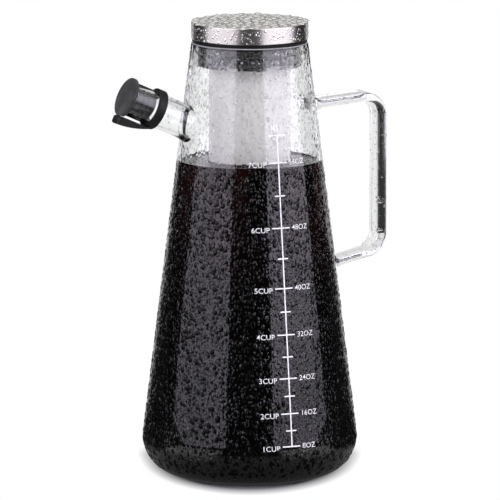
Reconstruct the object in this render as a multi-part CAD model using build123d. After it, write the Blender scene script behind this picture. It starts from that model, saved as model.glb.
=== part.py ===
"""Cold brew coffee maker.

A conical glass carafe with a fused handle and pour spout, a steel mesh filter that hangs in
the mouth on a silicone collar, a brushed steel lid, and a silicone stopper tethered to the
spout by a strap.

Millimetres, +Z up. The origin is the centre of the carafe's base, on the table. The handle
points along +X and the spout along -X.
"""
from build123d import *

import os
from math import cos, radians, sin, sqrt

# --- Carafe ---------------------------------------------------------------------------------
carafe_height = 260.0        # table to the glass rim
mouth_diameter = 69.4        # outside of the glass at the rim
foot_diameter = 134.0        # outside of the straight flank, carried down to the table
base_corner_radius = 23.0    # outside, between the flank and the base
inner_corner_radius = 18.0   # inside, between the flank and the floor
glass_wall = 2.4             # measured level
glass_floor = 4.7
rim_round = 1.0              # fire-polished edges of the rim

# --- Handle: one flattened glass rod, bent into a D -----------------------------------------
handle_drop = 39.0           # glass rim down to the top root
handle_span = 96.4           # top root down to the bottom root
handle_reach = 83.8          # carafe's axis to the middle of the grip
handle_top_rise = 4.5        # degrees, outward along the top bar
handle_bottom_rise = 12.0    # degrees, outward along the bottom bar
handle_width = 16.5
handle_thickness = 5.8
handle_bend_radius = 12.0    # on the middle line
handle_flare = 2.4           # how far the glass swells where it is fused to the flank
handle_flare_length = 8.0

# --- Pour spout -----------------------------------------------------------------------------
spout_drop = 46.6            # glass rim down to the spout's root
spout_tilt = 24.2            # degrees above level
spout_length = 41.2          # flank to the spout's mouth, along the spout
spout_diameter = 20.6
spout_wall = 1.9
spout_lip_round = 0.8
spout_flare = 1.5            # swelling of the weld at the flank
spout_flare_length = 5.0

# --- Stopper: ring, strap and cap of black silicone -----------------------------------------
ring_setback = 15.2          # spout's mouth back to the ring
ring_width = 5.4
ring_thickness = 1.9
strap_width = 11.0
strap_gap = 1.4              # spout's underside to the strap
strap_corner_radius = 3.0    # corners of the strap's free end, seen from below
strap_bow = 0.8              # how far the strap's underside bows out
knuckle_radius = 2.6         # rounded end of the strap, about which the cap turns
hinge_lead = 0.5             # middle of the knuckle beyond the spout's mouth
cap_overhang = 1.8           # cap's edge beyond the spout's outside
cap_thickness = 2.4
cap_edge_round = 0.7
plug_length = 9.0
plug_rib_count = 3
plug_rib_depth = 0.7
plug_rib_width = 1.5
stopper_clearance = 0.3      # plug to bore, and cap to knuckle

# --- Filter ---------------------------------------------------------------------------------
collar_clearance = 0.4       # collar's ribs to the glass at the rim
collar_width = 7.55          # bore to the tips of the ribs
collar_depth = 14.0          # below the glass rim
collar_flange = 2.2          # thickness of the flange that sits on the rim
collar_setback = 0.4         # flange's edge inside the glass edge
collar_rib_count = 3
collar_rib_depth = 0.7
collar_rib_width = 1.6
collar_inner_wall = 2.2      # sleeve of rubber around the filter
collar_skirt_wall = 1.9      # outer skirt that carries the ribs
collar_web = 3.0             # rubber above the groove, under the rim's level
mesh_thickness = 0.4
rim_sheet = 0.6              # steel sheet of the filter's rim and base
rim_flange_width = 3.6       # beyond the mesh sleeve
rim_spigot_length = 22.0     # below the glass rim
filter_floor_gap = 20.0      # filter's base to the glass floor
base_cup_height = 7.0
base_cup_round = 1.8

# --- Lid ------------------------------------------------------------------------------------
lid_height = 10.0
lid_overhang = 0.1           # steel edge beyond the glass rim
lid_sheet = 0.7
lid_edge_round = 0.9
lid_plug_clearance = 1.1     # plastic plug to the filter's rim
lid_plug_depth = 10.0        # below the top of the collar
lid_plug_wall = 2.2
lid_plug_round = 0.8
seal_clearance = 0.3         # seal to the filter's rim
seal_height = 3.0
seal_bite = 1.0              # depth of the seal's groove in the plug
seal_drop = 4.0              # top of the collar down to the seal

# --- Worked out from the sizes above --------------------------------------------------------
flank_taper = (foot_diameter - mouth_diameter) / 2 / carafe_height
mouth_radius = mouth_diameter / 2
throat_radius = mouth_radius - glass_wall
collar_top = carafe_height + collar_flange
collar_rib_radius = throat_radius - collar_clearance
collar_skirt_radius = collar_rib_radius - collar_rib_depth
sleeve_radius = collar_rib_radius - collar_width
spigot_radius = sleeve_radius - mesh_thickness
spigot_bore = spigot_radius - rim_sheet
filter_bottom = glass_floor + filter_floor_gap
lid_radius = mouth_radius + lid_overhang
lid_top = collar_top + lid_height
plug_core_radius = spigot_bore - lid_plug_clearance
seal_radius = spigot_bore - seal_clearance
spout_radius = spout_diameter / 2
spout_bore = spout_radius - spout_wall
cap_radius = spout_radius + cap_overhang
hinge_drop = spout_radius + strap_gap + knuckle_radius
spout_root_height = carafe_height - spout_drop
overrun = 4 * glass_wall     # how far tools and blanks pass through a wall

AXIAL = (Align.CENTER, Align.CENTER, Align.MIN)   # stands on its own plane


def flank_radius(height):
    """Outside radius of the straight flank at a height above the table."""
    return foot_diameter / 2 - flank_taper * height


def section(*points):
    """Closed flat section in the XZ plane from (radius, height) points."""
    return make_face(Polyline(*[(x, 0, z) for x, z in points], close=True))


def rounded(face, corners):
    """Round a section's corners, given as {(radius, height): rounding}."""
    for (x, z), rounding in corners.items():
        corner = face.vertices().sort_by_distance(Vector(x, 0, z))[0]
        face = fillet(corner, rounding)
    return face


def turned(face):
    """Solid of revolution about Z from a section in the XZ plane."""
    return revolve(face, Axis.Z)


def spout_plane():
    """Frame at the spout's mouth: local Z points out along the spout, local X upward."""
    tilt = radians(spout_tilt)
    outward = Vector(-cos(tilt), 0, sin(tilt))
    upward = Vector(sin(tilt), 0, cos(tilt))
    root = Vector(-flank_radius(spout_root_height), 0, spout_root_height)
    return Plane(origin=root + outward * spout_length, x_dir=upward, z_dir=outward)


# --- Glass ----------------------------------------------------------------------------------
def carafe_outside():
    """Solid of the carafe's outer form, which also copes the handle and the spout."""
    foot = foot_diameter / 2
    face = section((0, 0), (foot, 0), (mouth_radius, carafe_height), (0, carafe_height))
    face = rounded(face, {(foot, 0): base_corner_radius})
    return turned(face)


def carafe_inside():
    """Solid of the hollow, open through the rim."""
    top = carafe_height + overrun
    floor_radius = flank_radius(glass_floor) - glass_wall
    face = section(
        (0, glass_floor), (floor_radius, glass_floor),
        (flank_radius(carafe_height) - glass_wall, carafe_height),
        (flank_radius(carafe_height) - glass_wall, top), (0, top),
    )
    face = rounded(face, {(floor_radius, glass_floor): inner_corner_radius})
    return turned(face)


def spout_bore_tool():
    """Round tool along the spout, from beyond its mouth to just inside the flank."""
    length = spout_length + 2 * overrun
    rod = Pos(0, 0, -spout_length - overrun) * Cylinder(spout_bore, length, align=AXIAL)
    return spout_plane() * rod


def carafe_body():
    """Blown glass vessel: thick floor, straight tapered flank, polished rim."""
    body = carafe_outside() - carafe_inside()
    rim_edges = body.edges().filter_by(GeomType.CIRCLE).group_by(Axis.Z)[-1]
    body = fillet(rim_edges, min(rim_round, 0.45 * glass_wall))
    return body - spout_bore_tool()


def pour_spout():
    """Glass tube whose root swells into the flank and follows its curve."""
    root = -spout_length
    blank_end = root - overrun
    swell = spout_radius + spout_flare
    outline = [
        Line((spout_bore, 0, blank_end), (spout_bore, 0, 0)),
        Line((spout_bore, 0, 0), (spout_radius, 0, 0)),
        Line((spout_radius, 0, 0), (spout_radius, 0, root + spout_flare_length)),
        Spline(
            (spout_radius, 0, root + spout_flare_length), (swell, 0, root - spout_flare),
            tangents=[(0, 0, -1), (1, 0, -0.6)],
        ),
        Line((swell, 0, root - spout_flare), (swell, 0, blank_end)),
        Line((swell, 0, blank_end), (spout_bore, 0, blank_end)),
    ]
    face = make_face(outline)
    lip_round = min(spout_lip_round, 0.45 * spout_wall)
    face = rounded(face, {(spout_bore, 0): lip_round, (spout_radius, 0): lip_round})
    return spout_plane() * turned(face) - carafe_outside()


def bar_root(drop, rise):
    """Point on the flank and outward direction of one of the handle's bars."""
    height = carafe_height - drop
    slope = radians(rise)
    return Vector(flank_radius(height), 0, height), Vector(cos(slope), 0, sin(slope))


def handle_section(place, direction, swell=0.0):
    """Flattened round section of the rod, across a direction in the XZ plane."""
    across = Plane(origin=place, x_dir=(0, 1, 0), z_dir=direction)
    return across * SlotOverall(handle_width + 2 * swell, handle_thickness + 2 * swell)


def handle_flare_solid(root, outward):
    """Swelling at one root: the rod's section grows towards the flank it is fused to."""
    steps = ((1.0, 0.0), (0.45, 0.12), (0.0, 0.6), (-0.6, 1.7))
    sections = [
        handle_section(root + outward * (handle_flare_length * along), outward,
                       handle_flare * share)
        for along, share in steps
    ]
    return loft(sections)


def handle():
    """D-shaped grip, coped to the flank at both roots."""
    top_root, top_outward = bar_root(handle_drop, handle_top_rise)
    low_root, low_outward = bar_root(handle_drop + handle_span, handle_bottom_rise)
    top_corner = top_root + top_outward * ((handle_reach - top_root.X) / top_outward.X)
    low_corner = low_root + low_outward * ((handle_reach - low_root.X) / low_outward.X)
    start = top_root - top_outward * overrun
    end = low_root - low_outward * overrun
    path = FilletPolyline(start, top_corner, low_corner, end, radius=handle_bend_radius)
    rod = sweep(handle_section(start, top_outward), path)
    rod += handle_flare_solid(top_root, top_outward)
    rod += handle_flare_solid(low_root, low_outward)
    return rod - carafe_outside()


# --- Stopper --------------------------------------------------------------------------------
def strap_solid():
    """Strap under the spout: level above, bowed below, with a rounded knuckle at its end."""
    ring_middle = -ring_setback - ring_width / 2
    upper = -spout_radius - strap_gap
    ring_edge = -spout_radius - ring_thickness
    lower = -hinge_drop - knuckle_radius
    crown = ((ring_edge + lower) / 2 - strap_bow, 0, (ring_middle + hinge_lead) / 2)
    bow = ThreePointArc((ring_edge, 0, ring_middle), crown, (lower, 0, hinge_lead))
    tip = (-hinge_drop, 0, hinge_lead + knuckle_radius)
    end = ThreePointArc((lower, 0, hinge_lead), tip, (upper, 0, hinge_lead))
    top = Line(end @ 1, (upper, 0, ring_middle))
    outline = [bow, end, top, Line(top @ 1, bow @ 0)]
    side_view = extrude(make_face(outline), strap_width / 2, both=True)
    far = tip[2]
    near = ring_middle - strap_corner_radius
    plan = Plane.YZ * RectangleRounded(strap_width, far - near, strap_corner_radius)
    plan = Pos(0, 0, (far + near) / 2) * extrude(plan, 2 * hinge_drop, both=True)
    return side_view & plan


def knuckle(radius, length):
    """Round bar across the spout, on the line about which the cap turns."""
    return Pos(-hinge_drop, 0, hinge_lead) * Rot(90, 0, 0) * Cylinder(radius, length)


def stopper_ring():
    """Ring stretched over the spout, moulded in one with the strap."""
    far = -ring_setback - ring_width
    outside = spout_radius + ring_thickness
    face = section((spout_radius, far), (outside, far), (outside, -ring_setback),
                   (spout_radius, -ring_setback))
    corner = 0.3 * ring_thickness
    face = rounded(face, {(outside, far): corner, (outside, -ring_setback): corner})
    moulding = turned(face) + strap_solid()
    keep_clear = Pos(0, 0, -spout_length) * Cylinder(spout_radius, spout_length, align=AXIAL)
    return spout_plane() * (moulding - keep_clear)


def plug_radius(depth):
    """Largest plug radius at a depth in the bore that still swings out about the hinge."""
    swing = hinge_drop + spout_bore - stopper_clearance
    return sqrt(swing**2 + hinge_lead**2 - (depth + hinge_lead) ** 2) - hinge_drop


def plug_solid():
    """Tapered plug with ribs that press on the bore."""
    outline = [(0, 0), (plug_radius(0) - plug_rib_depth, 0)]
    pitch = plug_length / plug_rib_count
    for index in range(plug_rib_count):
        start = index * pitch + (pitch - plug_rib_width) / 2
        for depth, inset in ((start, plug_rib_depth), (start + 0.3 * plug_rib_width, 0),
                             (start + 0.7 * plug_rib_width, 0),
                             (start + plug_rib_width, plug_rib_depth)):
            outline.append((plug_radius(depth) - inset, -depth))
    outline.append((plug_radius(plug_length) - plug_rib_depth, -plug_length))
    outline.append((0, -plug_length))
    return turned(section(*outline))


def stopper_cap():
    """Cap with its plug, notched round the strap's knuckle."""
    face = section((0, 0), (cap_radius, 0), (cap_radius, cap_thickness), (0, cap_thickness))
    face = rounded(face, {
        (cap_radius, 0): 0.5 * cap_edge_round,
        (cap_radius, cap_thickness): cap_edge_round,
    })
    moulding = turned(face) + plug_solid()
    notch = knuckle(knuckle_radius + stopper_clearance, strap_width + 4 * stopper_clearance)
    return spout_plane() * (moulding - notch)


# --- Filter ---------------------------------------------------------------------------------
def filter_collar():
    """Silicone collar: a flange on the rim, a ribbed skirt in the throat, a groove between
    the skirt and the sleeve of rubber that grips the filter."""
    low = carafe_height - collar_depth
    flange = mouth_radius - collar_setback
    seat = sleeve_radius + rim_flange_width
    seat_level = collar_top - rim_sheet
    outline = [(sleeve_radius, low), (sleeve_radius + collar_inner_wall, low),
               (sleeve_radius + collar_inner_wall, carafe_height - collar_web),
               (collar_skirt_radius - collar_skirt_wall, carafe_height - collar_web),
               (collar_skirt_radius - collar_skirt_wall, low), (collar_skirt_radius, low)]
    pitch = collar_depth / collar_rib_count
    for index in range(collar_rib_count):
        start = low + index * pitch + (pitch - collar_rib_width) / 2
        outline += [(collar_skirt_radius, start),
                    (collar_rib_radius, start + 0.25 * collar_rib_width),
                    (collar_rib_radius, start + 0.75 * collar_rib_width),
                    (collar_skirt_radius, start + collar_rib_width)]
    outline += [(collar_skirt_radius, carafe_height), (flange, carafe_height),
                (flange, collar_top), (seat, collar_top), (seat, seat_level),
                (sleeve_radius, seat_level)]
    face = section(*outline)
    edge = 0.25 * collar_flange
    return turned(rounded(face, {(flange, carafe_height): edge, (flange, collar_top): edge}))


def filter_rim():
    """Drawn steel rim: a flange let into the collar and a spigot inside the mesh sleeve."""
    flange = sleeve_radius + rim_flange_width
    low = carafe_height - rim_spigot_length
    under = collar_top - rim_sheet
    face = section((spigot_bore, low), (spigot_radius, low), (spigot_radius, under),
                   (flange, under), (flange, collar_top), (spigot_bore, collar_top))
    return turned(rounded(face, {(spigot_bore, collar_top): 0.8 * rim_sheet}))


def filter_sleeve():
    """Tube of fine mesh, from under the rim's flange to the base cup."""
    top = collar_top - rim_sheet
    face = section((spigot_radius, filter_bottom), (sleeve_radius, filter_bottom),
                   (sleeve_radius, top), (spigot_radius, top))
    return turned(face)


def filter_base():
    """Pressed steel cup that closes the foot of the sleeve from inside."""
    top = filter_bottom + base_cup_height
    inside = spigot_radius - rim_sheet
    face = section((0, filter_bottom), (spigot_radius, filter_bottom), (spigot_radius, top),
                   (inside, top), (inside, filter_bottom + rim_sheet),
                   (0, filter_bottom + rim_sheet))
    inner_round = base_cup_round - rim_sheet
    return turned(rounded(face, {
        (spigot_radius, filter_bottom): base_cup_round,
        (inside, filter_bottom + rim_sheet): inner_round,
    }))


# --- Lid ------------------------------------------------------------------------------------
def lid_shell():
    """Drawn steel cap with a rounded top edge."""
    inside = lid_radius - lid_sheet
    face = section((0, lid_top), (lid_radius, lid_top), (lid_radius, collar_top),
                   (inside, collar_top), (inside, lid_top - lid_sheet), (0, lid_top - lid_sheet))
    inner_round = max(lid_edge_round - lid_sheet, 0.2 * lid_edge_round)
    return turned(rounded(face, {
        (lid_radius, lid_top): lid_edge_round,
        (inside, lid_top - lid_sheet): inner_round,
        (lid_radius, collar_top): 0.4 * lid_sheet,
    }))


def lid_core():
    """Moulded core that fills the steel cap and plugs the filter: a cup closed below."""
    edge = lid_radius - lid_sheet
    top = lid_top - lid_sheet
    low = collar_top - lid_plug_depth
    groove_top = collar_top - seal_drop
    groove_low = groove_top - seal_height
    groove = plug_core_radius - seal_bite
    hollow = groove - lid_plug_wall
    face = section((0, low), (plug_core_radius, low), (plug_core_radius, groove_low),
                   (groove, groove_low), (groove, groove_top), (plug_core_radius, groove_top),
                   (plug_core_radius, collar_top), (edge, collar_top), (edge, top),
                   (hollow, top), (hollow, low + lid_plug_wall), (0, low + lid_plug_wall))
    inner_round = max(lid_edge_round - lid_sheet, 0.2 * lid_edge_round)
    return turned(rounded(face, {
        (edge, top): inner_round,
        (plug_core_radius, low): lid_plug_round,
    }))


def lid_seal():
    """Silicone ring in the plug's groove, with a rounded lip towards the filter's rim."""
    top = collar_top - seal_drop
    low = top - seal_height
    groove = plug_core_radius - seal_bite
    face = section((groove, low), (seal_radius, low), (seal_radius, top), (groove, top))
    lip = 0.3 * seal_height
    return turned(rounded(face, {(seal_radius, low): lip, (seal_radius, top): lip}))


PIECES = (
    carafe_body, pour_spout, handle, stopper_ring, stopper_cap,
    filter_collar, filter_rim, filter_sleeve, filter_base,
    lid_shell, lid_core, lid_seal,
)


def main():
    os.makedirs("parts", exist_ok=True)
    for piece in PIECES:
        export_step(piece(), f"parts/{piece.__name__}.step")


main()
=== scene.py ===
"""Cold brew coffee maker, dressed for the camera.

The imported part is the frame. This script blows the carafe, its spout and its handle as one
piece of glass, fills it with coffee, prints the scale, beads the outside with water, and
gives every other node the finish of its own material: brushed steel, steel mesh, black
silicone and black plastic. It then sets up a white table, softboxes and a long lens.

Lengths are in millimetres unless a comment says otherwise.
"""
import logging
import math
from contextlib import contextmanager
from dataclasses import dataclass, field
from enum import Enum
from typing import Callable, Iterable, Iterator, Sequence

import bpy
import numpy as np
from mathutils import Matrix, Vector


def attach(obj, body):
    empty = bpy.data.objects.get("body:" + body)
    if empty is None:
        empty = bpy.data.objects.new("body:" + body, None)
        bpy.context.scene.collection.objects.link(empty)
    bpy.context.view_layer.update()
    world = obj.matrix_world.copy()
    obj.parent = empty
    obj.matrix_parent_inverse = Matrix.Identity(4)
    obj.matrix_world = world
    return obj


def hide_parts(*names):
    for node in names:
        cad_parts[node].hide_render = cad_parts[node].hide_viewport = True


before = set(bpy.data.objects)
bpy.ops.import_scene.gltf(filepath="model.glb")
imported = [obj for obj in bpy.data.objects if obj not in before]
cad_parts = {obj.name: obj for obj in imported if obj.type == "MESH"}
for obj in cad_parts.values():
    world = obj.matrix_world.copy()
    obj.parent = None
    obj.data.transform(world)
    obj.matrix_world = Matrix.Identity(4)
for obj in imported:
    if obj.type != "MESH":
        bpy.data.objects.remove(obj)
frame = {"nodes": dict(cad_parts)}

log = logging.getLogger("cold_brew")

MM = 0.001
POLE = 0.001                 # radius of a ring that is about to be merged into one point
Profile = list[tuple[float, float]]
Wanted = Callable[[Vector, Vector], bool]


# --- Working in edit mode --------------------------------------------------------------------
def deselect() -> None:
    """Leave object mode selected on nothing."""
    if bpy.context.object is not None and bpy.context.object.mode != "OBJECT":
        bpy.ops.object.mode_set(mode="OBJECT")
    bpy.ops.object.select_all(action="DESELECT")


def take(piece: bpy.types.Object) -> None:
    """Select one object alone and make it active."""
    deselect()
    piece.select_set(True)
    bpy.context.view_layer.objects.active = piece


def settle(piece: bpy.types.Object) -> None:
    """Move an object's place into its mesh, so that it sits at the origin unturned."""
    take(piece)
    bpy.ops.object.transform_apply(location=True, rotation=True, scale=True)


def newest(name: str) -> bpy.types.Object:
    """Name the object that was just added, settle it and return it."""
    piece = bpy.context.object
    piece.name = piece.data.name = name
    settle(piece)
    return piece


@contextmanager
def whole_mesh(piece: bpy.types.Object) -> Iterator[None]:
    """Work in edit mode on all of a mesh, and go back to object mode."""
    take(piece)
    bpy.ops.object.mode_set(mode="EDIT")
    bpy.ops.mesh.select_all(action="SELECT")
    yield
    bpy.ops.object.mode_set(mode="OBJECT")


def smooth(piece: bpy.types.Object, below: float) -> None:
    """Shade edges that turn by less than so many degrees smooth."""
    take(piece)
    bpy.ops.object.shade_smooth_by_angle(angle=math.radians(below))


def pick(piece: bpy.types.Object, wanted: Callable[[Vector], bool]) -> None:
    """Go to edit mode with only some points selected.

    Args:
        piece: The mesh.
        wanted: Says for a point in millimetres whether it is selected.
    """
    take(piece)
    bpy.ops.object.mode_set(mode="EDIT")
    bpy.ops.mesh.select_mode(type="VERT")
    bpy.ops.mesh.select_all(action="DESELECT")
    bpy.ops.object.mode_set(mode="OBJECT")
    for point in piece.data.vertices:
        point.select = wanted(point.co / MM)
    bpy.ops.object.mode_set(mode="EDIT")


def tidy_mesh(piece: bpy.types.Object, smooth_below: float = 35.0) -> None:
    """Merge doubled points, turn every face outwards and shade the curves smooth.

    Args:
        piece: The mesh to tidy.
        smooth_below: Edges that turn by less than this many degrees are shaded smooth.
    """
    with whole_mesh(piece):
        bpy.ops.mesh.remove_doubles(threshold=4 * POLE * MM)
        bpy.ops.mesh.normals_make_consistent(inside=False)
    smooth(piece, smooth_below)


def corner(before: Sequence[float], at: Sequence[float], after: Sequence[float],
           radius: float, steps: int = 10) -> Profile:
    """Round one corner of a profile with an arc.

    Args:
        before: Profile point before the corner.
        at: The sharp corner.
        after: Profile point after the corner.
        radius: Rounding radius.
        steps: Number of chords in the arc.

    Returns:
        The arc's points, from the side of before to the side of after.
    """
    here = Vector(at)
    toward, away = (Vector(before) - here).normalized(), (Vector(after) - here).normalized()
    half = toward.angle(away) / 2
    centre = here + (toward + away).normalized() * (radius / math.sin(half))
    start = here + toward * (radius / math.tan(half)) - centre
    end = here + away * (radius / math.tan(half)) - centre
    turn = start.angle_signed(end)
    points = []
    for step in range(steps + 1):
        arm = Matrix.Rotation(-turn * step / steps, 2) @ start
        points.append((centre.x + arm.x, centre.y + arm.y))
    return points


@dataclass(frozen=True)
class Lathe:
    """Turns a profile into a mesh, one ring at a time, about the vertical axis."""

    segments: int = 160

    def turn(self, name: str, profile: Profile, smooth_below: float = 35.0) -> bpy.types.Object:
        """Turn a profile.

        Args:
            name: Name of the new piece.
            profile: (radius, height) points. A radius of nought closes the form at a pole,
                and a profile that ends where it starts closes on itself.
            smooth_below: Edges that turn by less than this many degrees are shaded smooth.

        Returns:
            The turned piece.
        """
        deselect()
        radius, height = profile[0][0] or POLE, profile[0][1]
        bpy.ops.mesh.primitive_circle_add(
            vertices=self.segments, radius=radius * MM, location=(0, 0, height * MM))
        piece = newest(name)
        with whole_mesh(piece):
            for next_radius, next_height in profile[1:]:
                next_radius = next_radius or POLE
                lift = (0, 0, (next_height - height) * MM)
                scale = next_radius / radius
                bpy.ops.mesh.extrude_region_move(TRANSFORM_OT_translate={"value": lift})
                bpy.ops.transform.resize(value=(scale, scale, 1), center_override=(0, 0, 0))
                radius, height = next_radius, next_height
        tidy_mesh(piece, smooth_below)
        return piece


def cut_or_join(body: bpy.types.Object, tool: bpy.types.Object, operation: str) -> None:
    """Join a solid to a body or cut it out, and use the solid up.

    Args:
        body: The mesh that is kept.
        tool: The closed mesh that is used up.
        operation: UNION or DIFFERENCE.
    """
    take(body)
    bpy.ops.object.modifier_add(type="BOOLEAN")
    step = body.modifiers[-1]
    step.operation, step.solver, step.object = operation, "EXACT", tool
    bpy.ops.object.modifier_apply(modifier=step.name)
    bpy.data.objects.remove(tool)


# --- Finishes --------------------------------------------------------------------------------
Socket = bpy.types.NodeSocket
Colour = tuple[float, float, float, float]
Stretch = tuple[float, float, float]

TALL: Stretch = (1, 1, 0.68)     # drops on the glass are taller than wide
TALL_ELSEWHERE: Stretch = (1, 1, 0.7)
LONG_RIPPLE: Stretch = (1, 1, 0.35)
BLACK_COFFEE: Colour = (0.0012, 0.001, 0.001, 1)


def grey(shade: float) -> Colour:
    """Return an opaque grey."""
    return (shade, shade, shade, 1)


class Wiring:
    """Adds and joins the nodes of one material or world."""

    def __init__(self, owner: bpy.types.Material | bpy.types.World) -> None:
        """Take a material or a world and empty its node tree."""
        owner.use_nodes = True
        self.tree = owner.node_tree
        self.tree.nodes.clear()

    def add(self, kind: str, inputs: dict | None = None, **settings) -> bpy.types.Node:
        """Add a node.

        Args:
            kind: Node type, without its ShaderNode prefix.
            inputs: Socket values or links, by socket name or number.
            **settings: Properties of the node.

        Returns:
            The node.
        """
        node = self.tree.nodes.new("ShaderNode" + kind)
        for key, value in settings.items():
            setattr(node, key, value)
        for key, value in (inputs or {}).items():
            if isinstance(value, Socket):
                self.tree.links.new(value, node.inputs[key])
            else:
                node.inputs[key].default_value = value
        return node

    def get(self, kind: str, inputs: dict | None = None, output: int | str = 0,
            **settings) -> Socket:
        """Add a node and return one of its outputs."""
        return self.add(kind, inputs, **settings).outputs[output]

    def sum(self, operation: str, first, second=0.0) -> Socket:
        """Add a Math node and return its output."""
        return self.get("Math", {0: first, 1: second}, operation=operation)

    def times(self, first, second) -> Socket:
        """Return the product of two values."""
        return self.sum("MULTIPLY", first, second)

    def vector(self, operation: str, first, second, output: int = 0) -> Socket:
        """Add a Vector Math node on two vectors and return one of its outputs."""
        return self.get("VectorMath", {0: first, 1: second}, output, operation=operation)

    def along(self, at, way: Vector) -> Socket:
        """Return how far a place lies along a direction."""
        return self.vector("DOT_PRODUCT", at, way, 1)

    def parts(self, at) -> Sequence[Socket]:
        """Return the X, Y and Z of a vector."""
        return self.add("SeparateXYZ", {0: at}).outputs

    def here(self) -> Socket:
        """Return the piece's own coordinates in metres."""
        return self.get("TexCoord", output="Object")

    def place(self, scale: Stretch = (1, 1, 1)) -> Socket:
        """Return the piece's own coordinates in metres, stretched by scale."""
        return self.get("Mapping", {"Vector": self.here(), "Scale": scale})

    def height(self) -> Socket:
        """Return the height of the shaded point in metres."""
        return self.parts(self.place())[2]

    def noise(self, at, scale: float, detail: float = 2.0) -> Socket:
        """Return smooth noise between 0 and 1 with the given scale and detail."""
        return self.get("TexNoise", {"Vector": at, "Scale": scale, "Detail": detail})

    def spread(self, value, low: float, high: float, to_low, to_high) -> Socket:
        """Map a value from the range low to high onto to_low to to_high, clamped."""
        return self.get("MapRange", {"Value": value, "From Min": low, "From Max": high,
                                     "To Min": to_low, "To Max": to_high})

    def blend(self, factor, first, second) -> Socket:
        """Return a colour that goes from first to second with factor."""
        return self.get("Mix", {0: factor, 6: first, 7: second}, 2, data_type="RGBA")

    def bump(self, height, depth: float) -> Socket:
        """Return a normal raised by a height, whose unit is depth in millimetres."""
        return self.get("Bump", {"Height": height, "Distance": depth * MM})

    def mix(self, factor, first, second) -> Socket:
        """Return a shader that goes from first to second with factor."""
        return self.get("MixShader", {0: factor, 1: first, 2: second})

    def glow(self, strength, colour: Colour = grey(1)) -> Socket:
        """Return a shader that glows."""
        return self.get("Emission", {"Color": colour, "Strength": strength})

    def finish(self, shader: Socket, kind: str = "OutputMaterial") -> None:
        """Join the last shader to the output."""
        self.add(kind, {"Surface": shader})


@dataclass(frozen=True)
class Scatter:
    """Fine water that a shader strews over a surface, as raised domes or as flat dots."""

    pitch: float                 # mean distance between them
    smallest: float              # radius of the smallest, as a share of pitch
    largest: float               # radius of the largest, as a share of pitch
    share: float                 # share of the places that hold one
    slope: float = 0.0           # slope at a dome's edge

    def cells(self, net: Wiring, at) -> tuple[bpy.types.Node, Socket, Socket]:
        """Return the cells, each cell's radius, and 1 for a cell that holds one."""
        cells = net.add("TexVoronoi", {"Vector": at, "Scale": 1 / (self.pitch * MM)})
        colour = net.add("SeparateColor", {"Color": cells.outputs["Color"]}).outputs
        radius = net.spread(colour[0], 0, 1, self.smallest, self.largest)
        return cells, radius, net.sum("LESS_THAN", colour[1], self.share)

    def domes(self, net: Wiring, at, under: Socket | None = None) -> Socket:
        """Return the normals of domes that stand on a surface with the normal under."""
        cells, radius, held = self.cells(net, at)
        holds = net.times(held, net.sum("LESS_THAN", cells.outputs["Distance"], radius))
        lean = net.times(net.sum("DIVIDE", self.slope / (self.pitch * MM), radius), holds)
        off = net.vector("SUBTRACT", at, cells.outputs["Position"])
        off = net.get("VectorMath", {0: off, "Scale": lean}, operation="SCALE")
        under = under or net.get("NewGeometry", output="Normal")
        return net.get("VectorMath", {0: net.vector("ADD", under, off)},
                       operation="NORMALIZE")

    def dots(self, net: Wiring, at) -> Socket:
        """Return 1 inside a dot and 0 outside, with a soft edge."""
        cells, radius, held = self.cells(net, at)
        reach = net.sum("DIVIDE", cells.outputs["Distance"], radius)
        return net.times(net.spread(reach, 0.7, 1.15, 1, 0), held)


BEADS_ON_CLEAR = Scatter(2.2, 0.26, 0.48, 0.7, 0.13)
FOG_INSIDE = Scatter(3.1, 0.22, 0.44, 0.5, 0.10)
MIST_BROAD, MIST_FINE = Scatter(2.2, 0.15, 0.36, 0.6), Scatter(1.5, 0.2, 0.4, 0.5)
BEADS_FINE = Scatter(1.5, 0.30, 0.5, 0.85, 0.42)
BEADS_BROAD = Scatter(2.7, 0.26, 0.48, 0.6, 0.50)
DARK_DOTS = Scatter(2.1, 0.16, 0.40, 0.8)
DOTS_ON_MESH = Scatter(3.1, 0.2, 0.45, 0.5)
DOTS_ON_SILICONE = Scatter(1.7, 0.15, 0.36, 0.4)
BEADS_ON_COLLAR = Scatter(1.5, 0.3, 0.5, 0.75, 0.45)


@dataclass(frozen=True)
class Finish:
    """A finish: a name and the nodes that make it."""

    name: str

    def material(self) -> bpy.types.Material:
        """Return the finish as a material, made once."""
        made = bpy.data.materials.get(self.name)
        if made is None:
            made = bpy.data.materials.new(self.name)
            net = Wiring(made)
            net.finish(self.shader(net))
        return made

    def shader(self, net: Wiring) -> Socket:
        """Return the finish's shader."""
        return net.get("BsdfPrincipled", self.look(net))

    def look(self, net: Wiring) -> dict:
        """Return the inputs of the Principled shader."""
        raise NotImplementedError

    def dress(self, piece: bpy.types.Object) -> None:
        """Give a piece this finish all over."""
        piece.data.materials.clear()
        piece.data.materials.append(self.material())


def let_lamps_through(net: Wiring, glass: Socket, tint: float) -> Socket:
    """Return a clear shader that lets a share of the lamps' light through as a faint shadow."""
    veil = net.get("BsdfTransparent", {"Color": grey(tint)})
    return net.mix(net.get("LightPath", output="Is Shadow Ray"), glass, veil)


def slow_ripple(net: Wiring, depth: float) -> Socket:
    """Return the slow ripple of hand-worked glass."""
    return net.bump(net.noise(net.place(LONG_RIPPLE), 60, 1.5), depth)


class Wetness(Enum):
    """What stands on a glass surface."""

    DRY = "dry"
    FOGGED = "fogged"
    BEADED = "beaded"


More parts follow.
